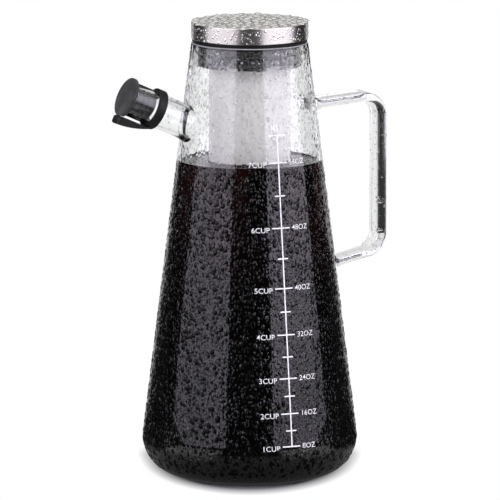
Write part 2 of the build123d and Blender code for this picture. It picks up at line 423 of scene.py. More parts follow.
@dataclass(frozen=True)
class Glass(Finish):
    """Borosilicate glass with the slight ripple of hand work."""

    wetness: Wetness = Wetness.DRY
    index: float = 1.47
    ripple: float = 0.10
    passes: float = 0.93         # share of a lamp's light that gets through

    def look(self, net: Wiring) -> dict:
        """Return the clear glass, with whatever stands on it."""
        normal, tall = slow_ripple(net, self.ripple), net.place(TALL)
        colour = (0.985, 0.99, 0.992, 1)
        if self.wetness is Wetness.BEADED:
            normal = BEADS_ON_CLEAR.domes(net, tall, normal)
            mist = net.sum("MAXIMUM", MIST_BROAD.dots(net, tall), MIST_FINE.dots(net, tall))
            colour = net.blend(mist, (0.99, 0.993, 0.995, 1), (0.85, 0.855, 0.86, 1))
        elif self.wetness is Wetness.FOGGED:
            normal = FOG_INSIDE.domes(net, tall, normal)
        smear = net.spread(net.noise(net.place(), 45, 4), 0.35, 0.75, 0.0, 0.02)
        return {"Base Color": colour, "Roughness": smear, "IOR": self.index,
                "Transmission Weight": 1.0, "Normal": normal}

    def shader(self, net: Wiring) -> Socket:
        """Return the shader, which lamps shine through."""
        return let_lamps_through(net, super().shader(net), self.passes)


@dataclass(frozen=True)
class RimGlass(Glass):
    """The rim, where a light grey skin mixed into the clear glass is a painted highlight along
    the rim.
    """

    # share of the light grey skin, which paints the rim's highlight
    cloud: float = 0.45

    def shader(self, net: Wiring) -> Socket:
        """Return clear glass mixed with a light grey, matt skin: the painted rim highlight."""
        painted_rim_highlight = net.get("BsdfPrincipled", {
            "Base Color": (0.8, 0.8, 0.82, 1), "Roughness": 0.2, "IOR": self.index})
        return net.mix(self.cloud, Finish.shader(self, net), painted_rim_highlight)


@dataclass(frozen=True)
class Water(Finish):
    """Clean water, for the beads that stand on the surfaces."""

    index: float = 1.33
    passes: float = 0.95         # share of a lamp's light that gets through

    def look(self, net: Wiring) -> dict:
        """Return the water, with darker patches painted into its colour as the shade seen inside
        the beads.
        """
        # painted shade: darker patches stand in for the light and dark that a bead bends into
        # view
        cloud = net.spread(net.noise(net.place(), 1100, 1), 0.40, 0.60, 0, 1)
        return {"Base Color": net.blend(cloud, (0.72, 0.73, 0.74, 1), grey(1.0)),
                "Roughness": 0.0, "IOR": self.index, "Transmission Weight": 1.0,
                "Normal": net.bump(net.noise(net.place(), 900, 2), 0.02)}

    def shader(self, net: Wiring) -> Socket:
        """Return the shader, which lamps shine through."""
        return let_lamps_through(net, super().shader(net), self.passes)


@dataclass(frozen=True)
class Coffee(Finish):
    """Cold brew, black in bulk and red-brown where light gets in near the surface."""

    surface: float = 188.4
    index: float = 1.08

    def colour(self, net: Wiring) -> Socket:
        """Return the coffee's colour, warm in patches near the surface."""
        near_top = net.spread(net.height(), 0.115, self.surface * MM, 0, 1)
        patch = net.spread(net.noise(net.place((1, 1, 0.25)), 48, 2), 0.42, 0.68, 0, 1)
        return net.blend(net.times(near_top, patch), BLACK_COFFEE, (0.012, 0.0032, 0.0026, 1))

    def look(self, net: Wiring) -> dict:
        """Return the coffee."""
        return {"Base Color": self.colour(net), "Roughness": 0.04, "IOR": self.index}


@dataclass(frozen=True)
class FilledGlass(Coffee):
    """The outside of the glass where coffee stands right behind it.

    The wall bends every line of sight into the coffee, so nothing but the coffee's colour
    shows under the reflections of the outer face.
    """

    index: float = 1.47
    ripple: float = 0.10

    def look(self, net: Wiring) -> dict:
        """Return the glass, beaded all over, with dark dots where a drop mirrors nothing."""
        tall = net.place(TALL)
        normal = BEADS_FINE.domes(net, tall, slow_ripple(net, self.ripple))
        grain = net.spread(net.noise(tall, 1300, 1), 0.38, 0.62, 0.26, 0.80)
        bare = net.times(DARK_DOTS.dots(net, tall),
                         net.spread(net.height(), 0.014, 0.030, 0.15, 1.0))
        gloss = net.times(grain, net.spread(bare, 0, 1, 1.0, 0.08))
        return {"Base Color": self.colour(net), "Roughness": 0.02, "IOR": self.index,
                "Specular IOR Level": gloss, "Normal": BEADS_BROAD.domes(net, tall, normal)}


@dataclass(frozen=True)
class DarkWater(Finish):
    """Water on the glass in front of the coffee: clear, with black behind it."""

    def look(self, net: Wiring) -> dict:
        """Return the water, which mirrors more the higher it stands."""
        return {"Base Color": BLACK_COFFEE, "Roughness": 0.03, "IOR": 1.38,
                "Specular IOR Level": net.spread(net.height(), 0.03, 0.26, 0.10, 0.48),
                "Normal": net.bump(net.noise(net.place(), 900, 2), 0.03)}


@dataclass(frozen=True)
class SteelWater(Finish):
    """Water that stands on steel: each bead is a lens with the metal right behind it."""

    def look(self, net: Wiring) -> dict:
        """Return the water."""
        shiver = net.noise(net.place(), 700, 2)
        return {"Base Color": net.blend(shiver, (0.60, 0.59, 0.57, 1), (0.96, 0.95, 0.91, 1)),
                "Metallic": 0.8, "Roughness": 0.09, "Normal": net.bump(shiver, 0.03)}


@dataclass(frozen=True)
class BrushedSteel(Finish):
    """Stainless steel, brushed round its axis."""

    roughness: float = 0.33
    grain: float = 0.0015        # depth of the brushed lines

    def look(self, net: Wiring) -> dict:
        """Return the steel, with fine rings of brushing and a broad cloud."""
        x, y, z = net.parts(net.here())
        out = net.sum("SQRT", net.sum("ADD", net.sum("POWER", x, 2.0), net.sum("POWER", y, 2.0)))
        lines = net.noise(net.get("CombineXYZ", {0: out, 1: 0.0, 2: z}), 9000, 1)
        broad = net.noise(net.place(), 70, 3)
        both = net.sum("ADD", net.times(lines, 0.5), net.times(broad, 0.5))
        return {"Base Color": net.blend(broad, (0.60, 0.585, 0.54, 1), (0.71, 0.70, 0.65, 1)),
                "Metallic": 1.0, "Anisotropic": 0.75, "Anisotropic Rotation": 0.25,
                "Roughness": net.spread(both, 0.3, 0.7, self.roughness - 0.05,
                                        self.roughness + 0.07),
                "Tangent": net.get("Tangent", direction_type="RADIAL", axis="Z"),
                "Normal": net.bump(lines, self.grain)}


@dataclass(frozen=True)
class SteelMesh(Finish):
    """Fine woven steel mesh: thin wires over and under, with holes between."""

    pitch: float = 0.28
    tube_radius: float = 24.35
    open_share: float = 0.38

    def look(self, net: Wiring) -> dict:
        """Return the wires, lighter in mottles and dots: painted light for the beads on the glass
        in front.
        """
        x, y, z = net.parts(net.here())
        turns = net.times(net.sum("ARCTAN2", y, x), self.tube_radius / self.pitch)
        warp = net.sum("SINE", net.times(turns, 2 * math.pi))
        weft = net.sum("SINE", net.times(z, 2 * math.pi / (self.pitch * MM)))
        seam = net.noise(net.place((1, 1, 0.2)), 30, 2)
        # painted light: film and wet lighten the wires' colour in mottles and dots, standing in
        # for beads on the glass in front
        film = net.spread(net.noise(net.place((1, 1, 0.6)), 620, 2), 0.38, 0.62, 0, 0.75)
        wet = net.times(DOTS_ON_MESH.dots(net, net.place(TALL_ELSEWHERE)), 0.25)
        return {"Base Color": net.blend(net.sum("ADD", film, wet), (0.78, 0.78, 0.73, 1),
                                        (1.0, 1.0, 0.95, 1)),
                "Metallic": 0.25, "Roughness": net.spread(seam, 0.3, 0.7, 0.42, 0.55),
                "Normal": net.bump(net.times(warp, weft), 0.03)}

    def shader(self, net: Wiring) -> Socket:
        """Return the wires mixed with the holes."""
        return net.mix(self.open_share, super().shader(net), net.get("BsdfTransparent"))


@dataclass(frozen=True)
class Silicone(Finish):
    """Moulded black silicone: matt, with a fine bloom and fine drops of water."""

    shade: float = 0.018
    roughness: float = 0.42
    bloom: float = 0.05

    def look(self, net: Wiring) -> dict:
        """Return the rubber."""
        cloud = net.noise(net.place(), 160, 4)
        low, high = self.shade, self.shade + self.bloom * 0.3
        return {"Base Color": net.blend(net.spread(cloud, 0.4, 0.75, 0, 1),
                                        (low, low, low * 0.97, 1), grey(high)),
                "Roughness": net.spread(cloud, 0.3, 0.7, self.roughness - 0.06,
                                        self.roughness + 0.06),
                "IOR": 1.43, "Sheen Weight": self.bloom, "Sheen Roughness": 0.5,
                "Normal": net.bump(net.noise(net.place(), 4200, 2), 0.012),
                "Coat Weight": DOTS_ON_SILICONE.dots(net, net.place()),
                "Coat Roughness": 0.08, "Specular IOR Level": 0.3}


@dataclass(frozen=True)
class WetSilicone(Silicone):
    """Silicone pressed against wet glass, with a film of water and beads on it."""

    below: float = 257.9         # height under which it is wet

    def look(self, net: Wiring) -> dict:
        """Return the rubber under its film and beads, with light specks painted into its colour
        as the beads' glints.
        """
        film = net.sum("LESS_THAN", net.height(), self.below * MM)
        tall = net.place(TALL_ELSEWHERE)
        beads, specks = (net.get("TexVoronoi", {"Vector": tall, "Scale": scale}, "Distance")
                         for scale in (480.0, 700.0))
        # painted highlight: light specks in the wet band's colour stand in for glints on the
        # beads
        painted_glints = net.times(net.spread(specks, 0.16, 0.26, 1.0, 0.0), film)
        return {**super().look(net),
                "Base Color": net.blend(painted_glints, grey(self.shade), (0.09, 0.09, 0.095, 1)),
                "Coat Weight": net.times(film, net.spread(beads, 0.34, 0.46, 0.12, 1.0)),
                "Coat Normal": BEADS_ON_COLLAR.domes(net, tall),
                "Coat Roughness": 0.06, "Coat IOR": 3.7, "Specular IOR Level": 0.15}


@dataclass(frozen=True)
class Plastic(Finish):
    """Moulded black plastic with a fine spark-eroded texture."""

    def look(self, net: Wiring) -> dict:
        """Return the plastic."""
        cloud = net.noise(net.place(), 90, 3)
        return {"Base Color": net.blend(cloud, (0.012, 0.012, 0.013, 1), (0.028, 0.028, 0.03, 1)),
                "Roughness": net.spread(cloud, 0.3, 0.7, 0.4, 0.52), "IOR": 1.5,
                "Normal": net.bump(net.noise(net.place(), 2600, 3), 0.02)}


@dataclass(frozen=True)
class Ink(Finish):
    """White ceramic ink, fired on the glass, a little thin in places."""

    def look(self, net: Wiring) -> dict:
        """Return the ink."""
        worn = net.noise(net.place(), 1500, 3)
        return {"Base Color": net.blend(net.spread(worn, 0.35, 0.6, 0, 1),
                                        (0.80, 0.80, 0.81, 1), (0.97, 0.97, 0.98, 1)),
                "Roughness": net.spread(worn, 0.3, 0.7, 0.35, 0.55),
                "Normal": net.bump(worn, 0.01)}


# --- The carafe's form -----------------------------------------------------------------------
LOW_RINGS, HIGH_RINGS = (60.0, 110.0, 160.0), (210.0, 240.0)     # edge loops of the flank
FLAT_RADIUS = 30.0               # edge loop of the flat base, floor and coffee
BASE_STEPS, FLOOR_STEPS, RIM_STEPS = 26, 22, 5                   # chords in the roundings
TUBE_SIDES = 72
BARE_TUBE = -20.0                # edge loop of the spout, measured out from its lip


@dataclass(frozen=True)
class CarafeForm:
    """The sizes of the blown cone, which the glass, coffee, print and water share."""

    height: float = 260.0
    mouth_radius: float = 34.7
    foot_radius: float = 67.0
    wall: float = 2.4
    floor: float = 4.7
    base_round: float = 23.0
    inner_round: float = 18.0
    rim_round: float = 1.0
    fill: float = 188.4          # level of the coffee

    def flank(self, height: float) -> float:
        """Return the outside radius of the straight flank at a height."""
        return self.foot_radius + (self.mouth_radius - self.foot_radius) * height / self.height

    def outside(self) -> Profile:
        """Return the outer profile from the base's pole to the middle of the rim."""
        foot, top = (self.foot_radius, 0.0), (self.mouth_radius, self.height)
        points = [(0.0, 0.0), (FLAT_RADIUS, 0.0)]
        points += corner((0, 0), foot, top, self.base_round, BASE_STEPS)
        rings = (*LOW_RINGS, self.fill + 0.8, *HIGH_RINGS)
        points += [(self.flank(z), z) for z in rings]
        return points + corner(foot, top, (0, self.height), self.rim_round, RIM_STEPS)

    def inside(self) -> Profile:
        """Return the inner profile from the rim down to the floor's pole."""
        top = (self.mouth_radius - self.wall, self.height)
        foot = (self.flank(self.floor) - self.wall, self.floor)
        points = [(self.mouth_radius - self.wall / 2, self.height)]
        points += corner((self.mouth_radius, self.height), top, foot, self.rim_round, RIM_STEPS)
        points += [(self.flank(z) - self.wall, z) for z in reversed(LOW_RINGS + HIGH_RINGS)]
        points += corner(top, foot, (0, self.floor), self.inner_round, FLOOR_STEPS)
        return points + [(FLAT_RADIUS, self.floor), (0.0, self.floor)]

    def on_flank(self, across: float, height: float, lift: float) -> Vector:
        """Wrap a flat place onto the flank's front generator.

        Args:
            across: Distance round the flank from the front generator.
            height: Height above the table.
            lift: Distance off the glass.

        Returns:
            The point in metres.
        """
        radius = self.flank(height)
        angle = across / radius
        out = radius + lift
        return Vector((out * math.sin(angle), -out * math.cos(angle), height)) * MM


@dataclass
class Handle:
    """The flattened rod bent into a D."""

    form: CarafeForm
    drop: float = 39.0
    span: float = 96.4
    reach: float = 83.8
    top_rise: float = 4.5
    low_rise: float = 12.0
    width: float = 16.5
    thickness: float = 5.8
    bend: float = 12.0
    flare: float = 2.4
    flare_length: float = 8.0
    overrun: float = 9.6
    section_points: int = 40
    root_rings: tuple[float, ...] = (1.0, 0.75, 0.55, 0.4, 0.25, 0.12, 0, -0.25, -0.5)

    def root(self, height: float) -> Vector:
        """Return the point where a bar's middle line meets the flank."""
        return Vector((self.form.flank(height), 0, height))

    def swell(self, along: float) -> float:
        """Return how far the glass swells at a distance out from the flank."""
        share = max(0.0, 1 - along / self.flare_length)
        return self.flare * min(1.7, 0.6 * share ** 2.7)

    def stretch(self, place: Vector, factor: tuple[float, float]) -> None:
        """Scale the selected ring about a place, in thickness and in width."""
        thick, wide = factor
        bpy.ops.transform.resize(value=(thick, wide, thick), center_override=place * MM)

    def run(self, start: Vector, way: Vector, stops: Sequence[float],
            swells: Sequence[float]) -> None:
        """Extrude the selected ring along a straight bar that swells at its root.

        Args:
            start: Where the ring is now.
            way: Direction of the bar.
            stops: Distances from start, in order.
            swells: The swelling at start and at each stop.
        """
        done = 0.0
        for stop, (was, now) in zip(stops, zip(swells, swells[1:])):
            bpy.ops.mesh.extrude_region_move(
                TRANSFORM_OT_translate={"value": way * (stop - done) * MM})
            thick = (self.thickness + 2 * now) / (self.thickness + 2 * was)
            wide = (self.width + 2 * now) / (self.width + 2 * was)
            self.stretch(start + way * stop, (thick, wide))
            done = stop

    def blank(self) -> bpy.types.Object:
        """Bend the rod, closed at both ends, which run on through the wall."""
        rises = math.radians(self.top_rise), math.radians(self.low_rise)
        out_top = Vector((math.cos(rises[0]), 0, math.sin(rises[0])))
        out_low = Vector((math.cos(rises[1]), 0, math.sin(rises[1])))
        top = self.root(self.form.height - self.drop)
        low = self.root(self.form.height - self.drop - self.span)
        top_corner = top + out_top * ((self.reach - top.x) / out_top.x)
        low_corner = low + out_low * ((self.reach - low.x) / out_low.x)
        top_turn, low_turn = math.pi / 2 + rises[0], math.pi / 2 - rises[1]
        top_trim = self.bend * math.tan(top_turn / 2)
        low_trim = self.bend * math.tan(low_turn / 2)
        start = top - out_top * self.overrun

        deselect()
        bpy.ops.mesh.primitive_circle_add(
            vertices=self.section_points, radius=self.thickness / 2 * MM, location=start * MM,
            rotation=(0, math.pi / 2 - rises[0], 0))
        rod = newest("handle_blank")
        half_flat = (self.width - self.thickness) / 2 * MM
        for side in (1, -1):
            pick(rod, lambda point, side=side: point.y * side > 0.001)
            bpy.ops.transform.translate(value=(0, side * half_flat, 0))
        bpy.ops.mesh.select_all(action="SELECT")

        first = self.swell(-self.overrun)
        self.stretch(start, (1 + 2 * first / self.thickness, 1 + 2 * first / self.width))
        stops = [self.overrun + self.flare_length * share
                 for share in reversed(self.root_rings)]
        stops.append((top_corner - start).length - top_trim)
        swells = [first] + [self.swell(stop - self.overrun) for stop in stops]
        self.run(start, out_top, stops, swells)

        hub = top_corner - out_top * top_trim + Vector((out_top.z, 0, -out_top.x)) * self.bend
        bpy.ops.mesh.spin(steps=18, angle=-top_turn, center=hub * MM, axis=(0, 1, 0))
        down = Vector((0, 0, -1))
        grip = (top_corner - low_corner).length - top_trim - low_trim
        self.run(top_corner + down * top_trim, down, [grip], [0.0, 0.0])
        hub = Vector((self.reach - self.bend, 0, low_corner.z + low_trim))
        bpy.ops.mesh.spin(steps=16, angle=-low_turn, center=hub * MM, axis=(0, 1, 0))

        begin = low_corner - out_low * low_trim
        length = (begin - low).length
        stops = [length - self.flare_length * share for share in self.root_rings]
        stops.append(length + self.overrun)
        swells = [0.0] + [self.swell(length - stop) for stop in stops]
        self.run(begin, -out_low, stops, swells)

        bpy.ops.mesh.edge_face_add()
        pick(rod, lambda point: (point - top).dot(-out_top) > self.overrun - 0.01)
        bpy.ops.mesh.edge_face_add()
        tidy_mesh(rod)
        return rod


@dataclass
class Spout:
    """The pour spout's tube and its place on the flank. Its profiles start at the lip."""

    form: CarafeForm
    drop: float = 46.6
    tilt: float = 24.2
    length: float = 41.2
    radius: float = 10.3
    wall: float = 1.9
    lip_round: float = 0.8
    flare: float = 0.8
    flare_length: float = 5.0
    overrun: float = 9.6
    weld_rings: tuple[float, ...] = (1.0, 0.86, 0.72, 0.58, 0.44, 0.3, 0.15)

    def seat(self) -> Matrix:
        """Return the frame at the mouth: Z out along the spout, X upward, in metres."""
        tilt = math.radians(self.tilt)
        out = Vector((-math.cos(tilt), 0, math.sin(tilt)))
        up = Vector((math.sin(tilt), 0, math.cos(tilt)))
        height = self.form.height - self.drop
        root = Vector((-self.form.flank(height), 0, height))
        place = Matrix((up, out.cross(up), out)).transposed().to_4x4()
        place.translation = (root + out * self.length) * MM
        return place

    def mount(self, name: str, points: Profile) -> bpy.types.Object:
        """Turn a profile and put it in the spout's place."""
        piece = Lathe(TUBE_SIDES).turn(name, points)
        piece.matrix_world = self.seat()
        settle(piece)
        return piece

    def outside(self) -> bpy.types.Object:
        """Turn the tube's outside, with the swelling of the weld, and put it in place."""
        root, lip = -self.length, self.radius - self.wall / 2
        bottom = root - self.overrun
        swell = [(self.radius + (self.flare * share ** 2), root + self.flare_length
                  - (self.flare_length + self.flare) * share)
                 for share in self.weld_rings]
        points = [(0.0, bottom), (self.radius + self.flare, bottom)] + swell
        points += [(self.radius, root + self.flare_length), (self.radius, BARE_TUBE)]
        points += corner((self.radius, BARE_TUBE), (self.radius, 0), (0, 0), self.lip_round,
                         RIM_STEPS)
        return self.mount("spout_blank", points + [(lip, 0.0), (0.0, 0.0)])

    def bore(self) -> bpy.types.Object:
        """Turn the rod that cuts the bore, flared at the lip, and put it in place."""
        inner, beyond = self.radius - self.wall, 4.0
        bottom = -self.length - self.overrun - beyond
        points = [(0.0, bottom), (inner, bottom), (inner, BARE_TUBE)]
        points += corner((inner, BARE_TUBE), (inner, 0), (inner + 5, 0), self.lip_round,
                         RIM_STEPS)
        points += [(inner + self.lip_round, beyond), (0.0, beyond)]
        return self.mount("bore_tool", points)


@dataclass
class Plug:
    """The soft ribbed plug at its full length, round the rigid core under the cap."""

    spout: Spout
    start: float = 0.5           # distance of its root below the spout's lip
    end: float = 15.2
    root: float = 7.8
    crest: float = 8.25
    ribs: tuple[float, ...] = (2.6, 6.2, 9.8, 13.4)
    half_rib: float = 0.6
    finish: Silicone = Silicone("plug_silicone", 0.02, 0.45, 0.06)

    def build(self) -> bpy.types.Object:
        """Mould the plug, which rides on the stopper."""
        points = [(0.0, -self.end), (self.root - 1.2, -self.end), (self.root, 0.8 - self.end)]
        for rib in reversed(self.ribs):
            points += [(self.root, -rib - self.half_rib), (self.crest, -rib - 0.2),
                       (self.crest, 0.2 - rib), (self.root, self.half_rib - rib)]
        points += [(self.root, -self.start), (0.0, -self.start)]
        plug = self.spout.mount("stopper_plug", points)
        self.finish.dress(plug)
        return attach(plug, "stopper")


@dataclass
class Vessel:
    """The carafe, handle and spout as the one piece of glass that they are."""

    form: CarafeForm
    handle: Handle
    spout: Spout
    wet: Glass = Glass("glass_beaded", Wetness.BEADED)
    inner: Glass = Glass("glass_fogged", Wetness.FOGGED)
    filled: FilledGlass = FilledGlass("glass_over_coffee")
    plain: Glass = Glass("glass_plain")
    rim: RimGlass = RimGlass("glass_rim")
    sides: int = 192
    over_rim: float = 8.0        # how far the tool for the hollow stands over the rim
    over_fill: float = 0.7       # coffee stands behind the glass up to this over its level
    rim_depth: float = 0.65      # how far down the rim's painted highlight goes

    def cavity(self) -> bpy.types.Object:
        """Turn the hollow, open upward past the rim."""
        top = self.form.height + self.over_rim
        points = [(0.0, top), (self.form.mouth_radius - self.form.wall / 2, top)]
        return Lathe(self.sides).turn("cavity_tool", points + self.form.inside())

    def build(self) -> bpy.types.Object:
        """Blow the vessel, which replaces its three nodes and rides on the carafe."""
        glass = Lathe(self.sides).turn("carafe_glass",
                                       self.form.outside() + [(0.0, self.form.height)])
        finishes = [self.wet, self.inner, self.filled, self.plain, self.rim]
        inner, filled, plain, rim = range(1, len(finishes))
        tools = ((self.handle.blank(), "UNION", plain), (self.spout.outside(), "UNION", plain),
                 (self.cavity(), "DIFFERENCE", inner), (self.spout.bore(), "DIFFERENCE", plain))
        for piece in (glass, *(tool for tool, _, _ in tools)):
            piece.data.materials.clear()
            for finish in finishes:
                piece.data.materials.append(finish.material())
        for face in glass.data.polygons:
            if face.center.z < (self.form.fill + self.over_fill) * MM:
                face.material_index = filled
            elif face.center.z > (self.form.height - self.rim_depth) * MM:
                face.material_index = rim
        for tool, operation, finish in tools:
            tool.data.polygons.foreach_set("material_index",
                                           [finish] * len(tool.data.polygons))
            cut_or_join(glass, tool, operation)
        smooth(glass, 30)
        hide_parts("carafe_body", "pour_spout", "handle")
        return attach(glass, "carafe")


@dataclass
class Brew:
    """The coffee in the carafe, with a meniscus and a well round the filter."""

    form: CarafeForm
    bite: float = 0.12           # how far it reaches into the glass, so no air lies between
    climb: float = 1.0           # height of the meniscus
    well_radius: float = 24.9
    well_floor: float = 24.2
    meniscus: tuple[tuple[float, float], ...] = (      # (inward, share of the fall)
        (0.25, 0.45), (0.6, 0.8), (1.2, 1.08), (2.2, 1.22), (4.0, 1.3))
    finish: Coffee = Coffee("coffee")

    def build(self) -> bpy.types.Object:
        """Pour the coffee, which rides on the carafe."""
        wall = self.form.wall - self.bite
        foot = (self.form.flank(self.form.floor) - wall, self.form.floor - self.bite)
        level = self.form.fill
        edge_z = level + self.climb
        edge = (self.form.flank(edge_z) - wall, edge_z)
        points = [(0.0, foot[1]), (FLAT_RADIUS, foot[1])]
        points += corner((0, foot[1]), foot, edge, self.form.inner_round, FLOOR_STEPS)
        points += [(self.form.flank(z) - wall, z) for z in LOW_RINGS] + [edge]
        for inward, fall in self.meniscus:
            points.append((edge[0] - inward, edge_z - self.climb * fall / 1.3))
        points += [(self.well_radius + 2.0, level), (self.well_radius + 0.6, level + 0.2),
                   (self.well_radius, level + 0.8), (self.well_radius, self.well_floor),
                   (0.0, self.well_floor)]
        coffee = Lathe(160).turn("coffee", points, 60)
        self.finish.dress(coffee)
        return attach(coffee, "carafe")


# --- The printed scale -----------------------------------------------------------------------
@dataclass
class Scale:
    """The printed scale: a line with a tick for each half cup and words at each cup."""

    form: CarafeForm
    cups: dict[float, float] = field(default_factory=lambda: {
        1: 25.9, 1.5: 35.2, 2: 45.2, 2.5: 55.5, 3: 65.9, 3.5: 78.6, 4: 91.6, 4.5: 105.1,
        5: 118.9, 5.5: 136.4, 6: 154.4, 6.5: 173.3, 7: 192.8})
    most: float = 209.0
    stroke: float = 0.75
    long_tick: tuple[float, float] = (-5.9, 5.3)
    short_tick: tuple[float, float] = (-3.3, 3.3)
    letter: float = 4.3
    boldness: float = 0.01       # how much the letters are thickened
    gap: float = 1.5
    sag: float = 1.0             # how much lower the words on the left stand
    lift: float = 0.03
    thickness: float = 0.03
    finish: Ink = Ink("ceramic_ink")

    def bar(self, left: float, right: float, low: float, high: float) -> bpy.types.Object:
        """Lay one flat bar, cut into short lengths so that it can follow the glass.

        Args:
            left: Left edge, measured round the flank.
            right: Right edge.
            low: Lower edge.
            high: Upper edge.

        Returns:
            The flat bar, in the XZ plane.
        """
        deselect()
        bpy.ops.mesh.primitive_plane_add(
            size=1, location=((left + right) / 2 * MM, 0, (low + high) / 2 * MM),
            rotation=(math.pi / 2, 0, 0))
        piece = bpy.context.object
        piece.scale = ((right - left) * MM, (high - low) * MM, 1)
        settle(piece)
        with whole_mesh(piece):
            bpy.ops.mesh.subdivide(number_cuts=9)
        return piece

    def word(self, text: str, at: float, height: float, side: str,
             shape: tuple[float, float] = (1.05, 1.0)) -> bpy.types.Object:
        """Set one word.

        Args:
            text: The word.
            at: Where it starts or ends, measured round the flank.
            height: Height of its middle.
            side: LEFT, RIGHT or CENTER alignment.
            shape: Width and height of the letters, as shares of the font's own.

        Returns:
            The flat word, in the XZ plane.
        """
        deselect()
        foot = height - 0.34 * self.letter * shape[1]
        bpy.ops.object.text_add(location=(at * MM, 0, foot * MM),
                                rotation=(math.pi / 2, 0, 0))
        piece = bpy.context.object
        piece.data.body, piece.data.align_x = text, side
        piece.data.size = self.letter * 1.02 * MM
        piece.data.offset = self.boldness * MM
        piece.data.resolution_u = 3
        bpy.ops.object.convert(target="MESH")
        piece.scale = (*shape, 1)
        settle(piece)
        return piece

    def flat_parts(self) -> Iterable[bpy.types.Object]:
        """Lay out the whole scale flat, part by part."""
        half = self.stroke / 2
        yield self.bar(-half, half, self.cups[1] - half, self.most + half)
        for cup, height in self.cups.items():
            whole = cup == int(cup)
            left, right = self.long_tick if whole else self.short_tick
            yield self.bar(left, right, height - half, height + half)
            if whole:
                yield self.word(f"{int(cup)}CUP", left - self.gap, height - self.sag, "RIGHT")
                yield self.word(f"{int(cup) * 8}OZ", right + self.gap, height, "LEFT")
        yield self.bar(*self.long_tick, self.most - half, self.most + half)
        yield self.word("MAX", 0.0, self.most + 4.2, "CENTER", (0.85, 1.6))

    def build(self) -> bpy.types.Object:
        """Print the scale on the glass, as one piece that rides on the carafe."""
        parts = list(self.flat_parts())
        take(parts[0])
        for part in parts:
            part.select_set(True)
        bpy.ops.object.join()
        ink = bpy.context.object
        ink.name = ink.data.name = "scale_print"
        for point in ink.data.vertices:
            x, _, z = point.co / MM
            point.co = self.form.on_flank(x, z, self.lift)
        bpy.ops.object.modifier_add(type="SOLIDIFY")
        ink.modifiers[-1].thickness = self.thickness * MM
        ink.modifiers[-1].offset = 1
        bpy.ops.object.modifier_apply(modifier=ink.modifiers[-1].name)
        self.finish.dress(ink)
        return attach(ink, "carafe")


# --- Water -----------------------------------------------------------------------------------
@dataclass(frozen=True)
class Sprinkle:
    """How one surface is sprinkled."""

    name: str
    body: str
    count: int
    smallest: float
    largest: float
    skew: float = 3.0            # over 1 makes small drops the most common
    contact: float = 25.0        # angle at which a drop meets the surface
    run: float = 0.45            # how much longer than wide the drops may be
    taper: float = 0.25          # how much narrower a drop may be at its upper end
    seed: int = 1


@dataclass(frozen=True)
class Spot:
    """Where one bead stands."""

    place: Vector
    normal: Vector
    radius: float


